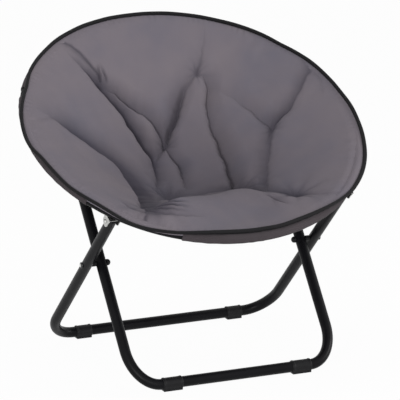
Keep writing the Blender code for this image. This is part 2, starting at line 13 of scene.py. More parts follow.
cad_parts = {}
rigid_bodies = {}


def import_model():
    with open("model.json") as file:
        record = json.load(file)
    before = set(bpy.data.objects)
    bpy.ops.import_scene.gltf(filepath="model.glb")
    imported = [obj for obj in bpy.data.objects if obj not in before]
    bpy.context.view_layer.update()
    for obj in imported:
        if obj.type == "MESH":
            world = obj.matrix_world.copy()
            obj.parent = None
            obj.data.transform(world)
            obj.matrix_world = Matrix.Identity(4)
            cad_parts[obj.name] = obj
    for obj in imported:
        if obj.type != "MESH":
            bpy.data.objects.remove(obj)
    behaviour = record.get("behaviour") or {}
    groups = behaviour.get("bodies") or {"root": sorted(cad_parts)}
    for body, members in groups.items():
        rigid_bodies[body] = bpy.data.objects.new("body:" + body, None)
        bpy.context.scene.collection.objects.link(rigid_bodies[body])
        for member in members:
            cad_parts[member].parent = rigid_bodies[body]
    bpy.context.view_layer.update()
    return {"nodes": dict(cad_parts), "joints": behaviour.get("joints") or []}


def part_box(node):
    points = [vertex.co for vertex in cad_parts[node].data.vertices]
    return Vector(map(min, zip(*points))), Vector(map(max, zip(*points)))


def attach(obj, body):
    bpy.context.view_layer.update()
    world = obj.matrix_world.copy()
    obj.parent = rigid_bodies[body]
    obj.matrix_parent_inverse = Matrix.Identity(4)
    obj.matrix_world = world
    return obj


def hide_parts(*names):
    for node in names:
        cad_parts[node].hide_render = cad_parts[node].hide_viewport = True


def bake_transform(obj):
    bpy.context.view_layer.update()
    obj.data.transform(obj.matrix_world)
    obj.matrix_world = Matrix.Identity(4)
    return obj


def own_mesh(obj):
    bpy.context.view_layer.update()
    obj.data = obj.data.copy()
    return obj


for leftover in list(bpy.data.objects):
    bpy.data.objects.remove(leftover)
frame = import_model()

# Legs: two U-shaped steel tubes, bent cold in two corners and powder coated satin black.
# The front U is narrower and nests in the rear one; its ends carry the back of the seat hoop.
# A bend flattens the tube a little, as a former does.
LEG_RADIUS = 0.0125
LEG_BEND = 0.066
LEG_BEND_RISE = 0.092
LEG_OVERRUN = 0.0085
LEG_SIDES = 40
SIDE_POINTS = 11
BEND_POINTS = 25
BAR_POINTS = 10
BEND_FLATTENING = 0.035
BEND_SPREAD = 0.4
BAR_HEIGHT = 0.016
LEGS = {
    "front": {"half": 0.250978, "bar_y": -0.249882,
              "pin": frame["joints"][1]["pos_m"], "body": "front_legs"},
    "rear": {"half": 0.285978, "bar_y": 0.228118,
             "pin": frame["joints"][2]["pos_m"], "body": "rear_legs"},
}
POWDER_BLACK = (0.0050, 0.0050, 0.0060)
SHARP_EDGE = math.radians(60)


def grid_faces(rows, columns, wrap_rows=False, wrap_columns=True):
    """Quads of a grid: each joins a point to its next row and column, and wraps where asked."""
    row = np.arange(rows if wrap_rows else rows - 1)[:, None]
    column = np.arange(columns if wrap_columns else columns - 1)[None, :]
    here, below = row * columns, (row + 1) % rows * columns
    beside = (column + 1) % columns
    corners = [here + column, here + beside, below + beside, below + column]
    return np.stack(np.broadcast_arrays(*corners), axis=-1).reshape(-1, 4)


def piece_from_grid(name, points, material, caps=False, wrap_rows=False, wrap_columns=True):
    """A mesh object at the origin from a grid of points; caps close its first and last row."""
    rows, columns = points.shape[:2]
    faces = grid_faces(rows, columns, wrap_rows, wrap_columns).tolist()
    if caps:
        last = (rows - 1) * columns
        faces += [list(range(columns))[::-1], list(range(last, last + columns))]
    mesh = bpy.data.meshes.new(name)
    mesh.from_pydata(points.reshape(-1, 3), [], faces)
    mesh.validate()
    mesh.shade_smooth()
    mesh.set_sharp_from_angle(angle=SHARP_EDGE)
    mesh.materials.append(material)
    piece = bpy.data.objects.new(name, mesh)
    bpy.context.scene.collection.objects.link(piece)
    return piece


def tube_surface(path, width, height, normal, sides):
    """A round section carried along a flat path: width in its plane, height along its normal."""
    along = np.gradient(path, axis=0)
    along /= np.linalg.norm(along, axis=1, keepdims=True)
    across = np.cross(along, normal)
    turn = np.linspace(0, 2 * math.pi, sides, endpoint=False)
    wide = np.reshape(width, (-1, 1, 1)) * np.cos(turn)[None, :, None] * across[:, None, :]
    high = np.reshape(height, (-1, 1, 1)) * np.sin(turn)[None, :, None] * np.asarray(normal)
    return path[:, None, :] + wide + high


def shader_of(name, colour, roughness, metallic=0.0):
    """A node material: its tree, its Principled shader and the object's own coordinates."""
    material = bpy.data.materials.new(name)
    material.use_nodes = True
    tree = material.node_tree
    shader = tree.nodes["Principled BSDF"]
    shader.inputs["Base Color"].default_value = (*colour, 1)
    shader.inputs["Roughness"].default_value = roughness
    shader.inputs["Metallic"].default_value = metallic
    place = tree.nodes.new("ShaderNodeTexCoord").outputs["Object"]
    return material, tree, shader, place


def noise_of(tree, place, scale, detail, roughness=0.5):
    """A noise field in the object's coordinates, at so many cells to the metre."""
    node = tree.nodes.new("ShaderNodeTexNoise")
    node.inputs["Scale"].default_value = scale
    node.inputs["Detail"].default_value = detail
    node.inputs["Roughness"].default_value = roughness
    tree.links.new(place, node.inputs["Vector"])
    return node.outputs["Fac"]


def ramp_of(tree, value, stops):
    """A colour ramp over a value: stops are (place, colour)."""
    node = tree.nodes.new("ShaderNodeValToRGB")
    elements = node.color_ramp.elements
    for index, (where, colour) in enumerate(stops):
        element = elements[index] if index < 2 else elements.new(where)
        element.position = where
        element.color = (*colour, 1)
    tree.links.new(value, node.inputs["Fac"])
    return node.outputs["Color"]


def level_of(tree, value, low, high):
    """A value spread from 0..1 to low..high."""
    node = tree.nodes.new("ShaderNodeMapRange")
    node.inputs["To Min"].default_value = low
    node.inputs["To Max"].default_value = high
    tree.links.new(value, node.inputs["Value"])
    return node.outputs["Result"]


def bump_of(tree, shader, height, strength, distance):
    """Fine relief on the shader's normal."""
    node = tree.nodes.new("ShaderNodeBump")
    node.inputs["Strength"].default_value = strength
    node.inputs["Distance"].default_value = distance
    tree.links.new(height, node.inputs["Height"])
    tree.links.new(node.outputs["Normal"], shader.inputs["Normal"])


def shaded(colour, share):
    """A colour times a share of its brightness."""
    return tuple(channel * share for channel in colour)


powder_coat, tree, shader, place = shader_of("powder_coat_black", POWDER_BLACK, roughness=0.38)
shader.inputs["Specular IOR Level"].default_value = 0.09
handled = noise_of(tree, place, scale=14, detail=4)
handled_tones = [(0.3, shaded(POWDER_BLACK, 0.8)), (0.75, shaded(POWDER_BLACK, 1.35))]
tree.links.new(ramp_of(tree, handled, handled_tones), shader.inputs["Base Color"])
satin = noise_of(tree, place, scale=60, detail=3)
tree.links.new(level_of(tree, satin, low=0.30, high=0.46), shader.inputs["Roughness"])
orange_peel = noise_of(tree, place, scale=900, detail=2)
bump_of(tree, shader, orange_peel, strength=0.10, distance=0.0004)

for side, leg in LEGS.items():
    pin = np.array(leg["pin"])
    bar = np.array((0.0, leg["bar_y"], BAR_HEIGHT))
    length = np.linalg.norm(pin - bar)
    along = (pin - bar) / length
    half, low = leg["half"], LEG_BEND_RISE - length
    bend = np.linspace(0, math.pi / 2, BEND_POINTS)
    side_x = np.full(SIDE_POINTS, half)
    side_y = np.linspace(LEG_OVERRUN, low, SIDE_POINTS + 1)[:-1]
    left_x = LEG_BEND - half - LEG_BEND * np.cos(bend)
    left_y = low - LEG_BEND_RISE * np.sin(bend)
    bar_x = np.linspace(LEG_BEND - half, half - LEG_BEND, BAR_POINTS + 2)[1:-1]
    bar_y = np.full(BAR_POINTS, -length)
    x = np.concatenate([-side_x, left_x, bar_x, -left_x[::-1], side_x])
    y = np.concatenate([side_y, left_y, bar_y, left_y[::-1], side_y[::-1]])
    straight_side, straight_bar = np.zeros(SIDE_POINTS), np.zeros(BAR_POINTS)
    bent = np.sin(2 * bend)
    squeeze = np.concatenate([straight_side, bent, straight_bar, bent, straight_side])
    path = pin + x[:, None] * np.array((1.0, 0, 0)) + y[:, None] * along
    plane = np.cross((1.0, 0, 0), along)
    surface = tube_surface(path, LEG_RADIUS * (1 - BEND_FLATTENING * squeeze),
                           LEG_RADIUS * (1 + BEND_SPREAD * BEND_FLATTENING * squeeze),
                           plane, LEG_SIDES)
    tube = piece_from_grid(side + "_leg_tube", surface, powder_coat, caps=True)
    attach(tube, leg["body"])
    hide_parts(side + "_leg_frame")

# Plugs and feet: moulded black plastic, pressed into the tube ends and clipped round the bars.
# Each foot is a sleeve with a raised band at both ends and a flat sole that stands on the floor.
FOOT_LENGTH = {"front": 0.048, "rear": 0.039}
FOOT_SETBACK = {"front": 0.0665, "rear": 0.0715}
FOOT_BORE = 0.01285
FOOT_WALL = 0.0013
FOOT_BAND = 0.0008
FOOT_BAND_PLACE = 0.07
FOOT_BAND_WIDTH = 0.05
FOOT_LIP = 0.03
FOOT_SOLE_HALF = 0.0105
FOOT_SIDES = 64
FOOT_STEPS = 33
BORE_STEPS = (0.8, 0.5, 0.2)
NEVER_ZERO = 1e-6
PLASTIC_BLACK = (0.0060, 0.0060, 0.0068)

moulded, tree, shader, place = shader_of("moulded_plastic_black", PLASTIC_BLACK, roughness=0.5)
scuffs = noise_of(tree, place, scale=180, detail=5, roughness=0.65)
scuff_tones = [(0.35, shaded(PLASTIC_BLACK, 0.8)), (0.8, shaded(PLASTIC_BLACK, 1.6))]
tree.links.new(ramp_of(tree, scuffs, scuff_tones), shader.inputs["Base Color"])
tree.links.new(level_of(tree, scuffs, low=0.40, high=0.62), shader.inputs["Roughness"])
shader.inputs["Specular IOR Level"].default_value = 0.18
spark_texture = noise_of(tree, place, scale=1500, detail=2)
bump_of(tree, shader, spark_texture, strength=0.12, distance=0.0003)

turn = np.linspace(0, 2 * math.pi, FOOT_SIDES, endpoint=False)
run = np.linspace(0, 1, FOOT_STEPS)
to_end = np.minimum(run, 1 - run)
band = np.exp(-((to_end - FOOT_BAND_PLACE) / FOOT_BAND_WIDTH) ** 4)
round_wall = FOOT_BORE + FOOT_WALL + FOOT_BAND * band
down = np.maximum(-np.sin(turn), NEVER_ZERO)
out = np.maximum(np.abs(np.cos(turn)), NEVER_ZERO)
sole = np.where(np.sin(turn) < 0, np.minimum(FOOT_SOLE_HALF / out, BAR_HEIGHT / down), 0)
lip = np.sqrt(np.minimum(to_end / FOOT_LIP, 1))[:, None]
radius = FOOT_BORE + (np.maximum(round_wall[:, None], sole) - FOOT_BORE) * lip
radius = np.concatenate([radius, np.full((len(BORE_STEPS), FOOT_SIDES), FOOT_BORE)])
above_floor = np.maximum(BAR_HEIGHT + radius * np.sin(turn), 0.0)
for side, leg in LEGS.items():
    start = leg["half"] - FOOT_SETBACK[side] - FOOT_LENGTH[side]
    along_bar = start + FOOT_LENGTH[side] * np.concatenate([run, BORE_STEPS])
    for mirror, hand in ((-1, "left"), (1, "right")):
        x = np.broadcast_to(mirror * along_bar[:, None], radius.shape)
        points = np.stack([x, leg["bar_y"] + radius * np.cos(turn), above_floor], axis=-1)
        points = points if mirror < 0 else points[:, ::-1]
        foot = piece_from_grid(f"{side}_foot_sleeve_{hand}", points, moulded, wrap_rows=True)
        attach(foot, leg["body"])
        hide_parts(f"{side}_foot_{hand}")
        frame["nodes"][f"{side}_leg_plug_{hand}"].data.materials[0] = moulded

# Fittings: clevis brackets, hinge leaves, bolts and rivets, pressed and turned from steel with
# bright zinc plate. The plate is a little cloudy, with fine lines from the tumbling drum.
# The scissor bolts are painted black, and the middle of their heads is worn bare.
ZINC_BRIGHT = (0.58, 0.58, 0.56)
ZINC_DULL = (0.36, 0.36, 0.35)
BARE_SPOT = 0.0050
BARE_CORE = 0.7

zinc, tree, shader, place = shader_of("zinc_plate_bright", ZINC_BRIGHT, roughness=0.34,
                                      metallic=1.0)
clouds = noise_of(tree, place, scale=220, detail=5, roughness=0.6)
plating = ramp_of(tree, clouds, [(0.30, ZINC_DULL), (0.62, ZINC_BRIGHT)])
tree.links.new(plating, shader.inputs["Base Color"])
tree.links.new(level_of(tree, clouds, low=0.50, high=0.26), shader.inputs["Roughness"])
drum_lines = noise_of(tree, place, scale=2600, detail=3)
bump_of(tree, shader, drum_lines, strength=0.08, distance=0.0002)

painted_bolt, tree, shader, place = shader_of("painted_bolt_worn", POWDER_BLACK, roughness=0.4)
low, high = (np.array(corner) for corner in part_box("scissor_bolt_left"))
from_axis = tree.nodes.new("ShaderNodeVectorMath")
from_axis.operation = "MULTIPLY_ADD"
from_axis.inputs[1].default_value = (0, 1, 1)
from_axis.inputs[2].default_value = (0, *(-0.5 * (low + high))[1:])
off_axis = tree.nodes.new("ShaderNodeVectorMath")
off_axis.operation = "LENGTH"
tree.links.new(place, from_axis.inputs[0])
tree.links.new(from_axis.outputs["Vector"], off_axis.inputs[0])
bare = tree.nodes.new("ShaderNodeMapRange")
bare.inputs["From Min"].default_value = BARE_SPOT
bare.inputs["From Max"].default_value = BARE_CORE * BARE_SPOT
tree.links.new(off_axis.outputs["Value"], bare.inputs["Value"])
tree.links.new(bare.outputs["Result"], shader.inputs["Metallic"])
paint = ramp_of(tree, bare.outputs["Result"], [(0.0, POWDER_BLACK), (1.0, ZINC_BRIGHT)])
tree.links.new(paint, shader.inputs["Base Color"])
turning_marks = noise_of(tree, place, scale=1800, detail=3)
bump_of(tree, shader, turning_marks, strength=0.10, distance=0.0002)

FITTING_FINISHES = {"bracket": zinc, "hinge": zinc, "scissor_bolt": painted_bolt,
                    "scissor_nut": moulded, "spacer": moulded}
for name, node in frame["nodes"].items():
    for word, finish in FITTING_FINISHES.items():
        if word in name:
            node.data.materials[0] = finish

# Seat hoop: 19 mm round tube, rolled to a circle, cut in two behind its middle and powder coated.
# Its plane leans back; places on it are given across (x), up the seat and out of the seat.
SEAT_TILT = math.radians(27.8)
HOOP_MIDDLE = np.array((0.0, 0.0017548, 0.54803087))
UP_SEAT = np.array((0.0, math.cos(SEAT_TILT), math.sin(SEAT_TILT)))
OUT_OF_SEAT = np.array((0.0, -math.sin(SEAT_TILT), math.cos(SEAT_TILT)))
HOOP_RADIUS = 0.394
HOOP_TUBE_RADIUS = 0.0095
HOOP_TUBE_SIDES = 36
HINGE_SETBACK = 0.16745
HINGE_ANGLE = math.acos(-HINGE_SETBACK / HOOP_RADIUS)
TUBE_END_GAP = 0.0025
# Each part of the hoop: the angles of its ends from the front towards the right, and its points
HOOP_ARCS = {
    "front": (-HINGE_ANGLE, HINGE_ANGLE, 181),
    "rear": (HINGE_ANGLE, 2 * math.pi - HINGE_ANGLE, 121),
}


def on_seat(x, up, out):
    """Points of the seat's frame, across, up and out of it, in the chair's frame."""
    x, up, out = np.broadcast_arrays(x, up, out)
    across = x[..., None] * np.array((1.0, 0, 0))
    return HOOP_MIDDLE + across + up[..., None] * UP_SEAT + out[..., None] * OUT_OF_SEAT


def round_seat(reach, angle, out):
    """Points round the seat: reach from its middle, by the angle from its front to the right."""
    return on_seat(reach * np.sin(angle), -reach * np.cos(angle), out)


for side, (start, end, count) in HOOP_ARCS.items():
    angles = np.linspace(start + TUBE_END_GAP, end - TUBE_END_GAP, count)
    surface = tube_surface(round_seat(HOOP_RADIUS, angles, 0.0), HOOP_TUBE_RADIUS,
                           HOOP_TUBE_RADIUS, OUT_OF_SEAT, HOOP_TUBE_SIDES)
    hoop = piece_from_grid(side + "_hoop_tube", surface, powder_coat, caps=True)
    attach(hoop, side + "_hoop")
    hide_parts(side + "_hoop")

# Cloth: brushed mauve-grey polyester for the bowl, its rim and its hems, and for the tunnels
# round the hoop a much darker grey, which is painted shade. A plain weave of five or six threads
# to the centimetre shows close up, with faint cloudy fading, and shade is painted into the
# bowl's creases.
CLOTH = (0.172, 0.153, 0.176)
CLOTH_WORN = (0.190, 0.166, 0.184)
CLOTH_DEEP = (0.148, 0.138, 0.168)
# Painted shade: the cloth's colour is multiplied by this bluish grey where its painted shade is
# full
CLOTH_IN_PAINTED_SHADE = (0.368, 0.374, 0.418)
WHOLE = (1.0, 1.0, 1.0)
THREADS_TO_THE_METRE = 550
WAVE_RADIANS = 20


def ribs_of(tree, flat, direction, to_the_metre, distortion):
    """Parallel ribs across a UV map in metres: the wave turns 20 radians for a scale of one."""
    wave = tree.nodes.new("ShaderNodeTexWave")
    wave.bands_direction = direction
    wave.inputs["Scale"].default_value = 2 * math.pi * to_the_metre / WAVE_RADIANS
    wave.inputs["Distortion"].default_value = distortion
    tree.links.new(flat, wave.inputs["Vector"])
    return wave


def times_of(tree, colour, factor):
    """One colour times another."""
    node = tree.nodes.new("ShaderNodeMixRGB")
    node.blend_type = "MULTIPLY"
    node.inputs["Fac"].default_value = 1.0
    tree.links.new(colour, node.inputs["Color1"])
    tree.links.new(factor, node.inputs["Color2"])
    return node.outputs["Color"]


def cloth_material(name, colours):
    """Woven cloth: two crossed thread waves on its own UV, faded in clouds, with shade painted in
    its folds.
    """
    material, tree, shader, place = shader_of(name, colours[1], roughness=0.9)
    clouds = noise_of(tree, place, scale=7, detail=3, roughness=0.55)
    fading = ramp_of(tree, clouds, [(0.25, colours[0]), (0.5, colours[1]), (0.78, colours[2])])
    flat = tree.nodes.new("ShaderNodeUVMap").outputs["UV"]
    weave = tree.nodes.new("ShaderNodeMath")
    weave.operation = "MAXIMUM"
    for socket, direction in enumerate(("X", "Y")):
        threads = ribs_of(tree, flat, direction, THREADS_TO_THE_METRE, distortion=0.4)
        threads.inputs["Detail"].default_value = 1.0
        tree.links.new(threads.outputs["Fac"], weave.inputs[socket])
    woven_tones = [(0.2, shaded(WHOLE, 0.86)), (0.9, shaded(WHOLE, 1.04))]
    woven = ramp_of(tree, weave.outputs["Value"], woven_tones)
    # The cloth is darkened by the painted shade that the bowl and rim carry as a point attribute
    painted_shade = tree.nodes.new("ShaderNodeAttribute")
    painted_shade.attribute_name = "painted_shade"
    painted_shading = ramp_of(tree, painted_shade.outputs["Fac"], [(0.0, WHOLE), (1.0, CLOTH_IN_PAINTED_SHADE)])
    fleck = times_of(tree, fading, woven)
    tree.links.new(times_of(tree, fleck, painted_shading), shader.inputs["Base Color"])
    bump_of(tree, shader, weave.outputs["Value"], strength=0.25, distance=0.0004)
    shader.inputs["Sheen Weight"].default_value = 0.04
    shader.inputs["Sheen Roughness"].default_value = 0.5
    shader.inputs["Specular IOR Level"].default_value = 0.12
    return material


def lay_uv(piece, u, v):
    """A UV map in metres of cloth, from a value of u and v for each vertex."""
    mesh = piece.data
    corner = np.empty(len(mesh.loops), np.int32)
    mesh.loops.foreach_get("vertex_index", corner)
    flat = np.stack([np.ravel(u)[corner], np.ravel(v)[corner]], axis=-1)
    mesh.uv_layers.new(name="cloth").data.foreach_set("uv", flat.ravel())


def mark_painted_shade(piece, painted_shade):
    """A point attribute of painted shade for the cloth's shader, from a value for each vertex."""
    attribute = piece.data.attributes.new("painted_shade", "FLOAT", "POINT")
    attribute.data.foreach_set("value", painted_shade.ravel())


cloth = cloth_material("cloth_mauve_grey", (CLOTH_DEEP, CLOTH, CLOTH_WORN))

# Tunnels: strips of cloth sewn into sleeves that hold the bowl on the hoop; their dark grey is
# painted shade.
# They stop short of the brackets and hinges, are hemmed at their ends and pull into small
# slanting ripples that come and go along the tube.
TUNNEL_RADIUS = 0.0112
TUNNEL_WALL = 0.0012
TUNNEL_STEP = 0.0035
TUNNEL_SIDES = 44
TUNNEL_HEM = 0.007
TUNNEL_HEM_RISE = 0.0004
RIPPLE_RISE = 0.00035
RIPPLE_LENGTH = 0.031
RIPPLE_SLANT = 0.006
RIPPLE_DRIFT = 1.7
RIPPLE_DRIFT_LENGTH = 0.17
RIPPLE_PATCH_LENGTH = 0.113
RIPPLE_FADE = 0.02
# The tunnels' colour: painted shade, much darker than the bowl's cloth
SLEEVE_CLOTH_PAINTED_DARK = (0.060, 0.051, 0.056)
HINGE_OPENING = 0.0165 / HOOP_RADIUS
BRACKET_OPENING = 0.026 / HOOP_RADIUS
LEFT_BARE, FRONT_START, FRONT_END, RIGHT_BARE = np.radians((-57, -23.5, 40, 57))
BACK_RIGHT = math.pi - math.asin(LEGS["front"]["half"] / HOOP_RADIUS)
BACK_LEFT = 2 * math.pi - BACK_RIGHT
LEFT_HINGE = 2 * math.pi - HINGE_ANGLE
# Each tunnel: the part of the hoop, the CAD sleeve it replaces and the angles of its ends
TUNNELS = {
    "tunnel_left": ("front", "sleeve_left", HINGE_OPENING - HINGE_ANGLE, LEFT_BARE),
    "tunnel_front": ("front", "sleeve_front", FRONT_START, FRONT_END),
    "tunnel_right": ("front", "sleeve_right", RIGHT_BARE, HINGE_ANGLE - HINGE_OPENING),
    "tunnel_rear_right": ("rear", "sleeve_rear_right",
                          HINGE_ANGLE + HINGE_OPENING, BACK_RIGHT - BRACKET_OPENING),
    "tunnel_back": ("rear", "sleeve_back",
                    BACK_RIGHT + BRACKET_OPENING, BACK_LEFT - BRACKET_OPENING),
    "tunnel_rear_left": ("rear", "sleeve_rear_left",
                         BACK_LEFT + BRACKET_OPENING, LEFT_HINGE - HINGE_OPENING),
}
# The tunnels' cloth material, its colour darkened as painted shade
sleeve_tones = (shaded(SLEEVE_CLOTH_PAINTED_DARK, 0.85), SLEEVE_CLOTH_PAINTED_DARK, shaded(SLEEVE_CLOTH_PAINTED_DARK, 1.15))
sleeve_cloth_painted_dark = cloth_material("cloth_sleeve_painted_shade", sleeve_tones)
round_tube = np.linspace(0, 2 * math.pi, TUNNEL_SIDES, endpoint=False)


def waves(along, length):
    """Whole turns of a wave of this length, in radians."""
    return 2 * math.pi * along / length


for name, (side, node, start, end) in TUNNELS.items():
    length = HOOP_RADIUS * (end - start)
    along = np.linspace(0, length, round(length / TUNNEL_STEP))[:, None]
    slanting = waves(along + RIPPLE_SLANT * np.cos(round_tube), RIPPLE_LENGTH)
    ripple = np.sin(slanting + RIPPLE_DRIFT * np.sin(waves(along, RIPPLE_DRIFT_LENGTH)))
    ripple *= 0.5 + 0.5 * np.sin(waves(along, RIPPLE_PATCH_LENGTH) + 2 * round_tube)
    to_end = np.minimum(along, length - along)
    ripple *= np.minimum(to_end / RIPPLE_FADE, 1)
    hem = np.exp(-((to_end - 0.5 * TUNNEL_HEM) / (0.45 * TUNNEL_HEM)) ** 4)
    outer = TUNNEL_RADIUS + RIPPLE_RISE * ripple + TUNNEL_HEM_RISE * hem
    inner = np.full(outer.shape, TUNNEL_RADIUS - TUNNEL_WALL)
    radius = np.concatenate([outer, inner])
    angle = start + np.concatenate([along, along[::-1]]) / HOOP_RADIUS
    reach, out = HOOP_RADIUS + radius * np.cos(round_tube), radius * np.sin(round_tube)
    points = round_seat(reach, angle, out)
    tunnel = piece_from_grid(name, points[:, ::-1], sleeve_cloth_painted_dark, wrap_rows=True)
    lay_uv(tunnel, np.broadcast_to(angle * HOOP_RADIUS, radius.shape)[:, ::-1],
           np.broadcast_to(round_tube * TUNNEL_RADIUS, radius.shape)[:, ::-1])
    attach(tunnel, side + "_hoop")
    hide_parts(node)

# Padded bowl: cloth over wadding, not quilted, pulled into creases where it is tied down inside.
# It sags in a rounded cone below the hoop, and in front its padding stands up in a knee roll.
# The bowl is two panels that meet on the hoop's fold line.
PANEL_RIM = 0.3685
PANEL_LINES = 621
SEAT_ROWS = 220
BACK_ROWS = 90
ROWS_TO_ONE_BELOW = 5
EDGE_ROW = 0.0008
RIM_INNER = 0.3817
RIM_OUTER = 0.3939
SAG_DEPTH = 0.200
SAG_ROUNDING = 0.150
SAG_FORWARD = 0.010
UNDERSIDE_LIFT = 0.006
PAD_EDGE = 0.0025
PAD_CROWN = 0.040
PAD_CROWN_POWER = 3.6
DENT = 0.0018
PUCKER = 0.0014
PUCKERS = 58
PUCKER_POWER = 14
ROLL_FRONT_WIDTH = 0.085
ROLL_BACK_WIDTH = 0.042
ROLL_EASE = 0.04
ROLL_EASE_STEPS = 9
# The knee roll's crest: across, up the seat, height above the padding
KNEE_ROLL = [
    (-0.300, -0.335, 0.000), (-0.206, -0.294, 0.050), (-0.162, -0.272, 0.080),
    (-0.112, -0.250, 0.070), (-0.068, -0.236, 0.061), (-0.039, -0.226, 0.058),
    (0.000, -0.211, 0.059), (0.038, -0.198, 0.058), (0.075, -0.196, 0.050),
    (0.105, -0.228, 0.041), (0.130, -0.258, 0.030), (0.158, -0.289, 0.022),
    (0.200, -0.314, 0.016), (0.300, -0.346, 0.000),
]
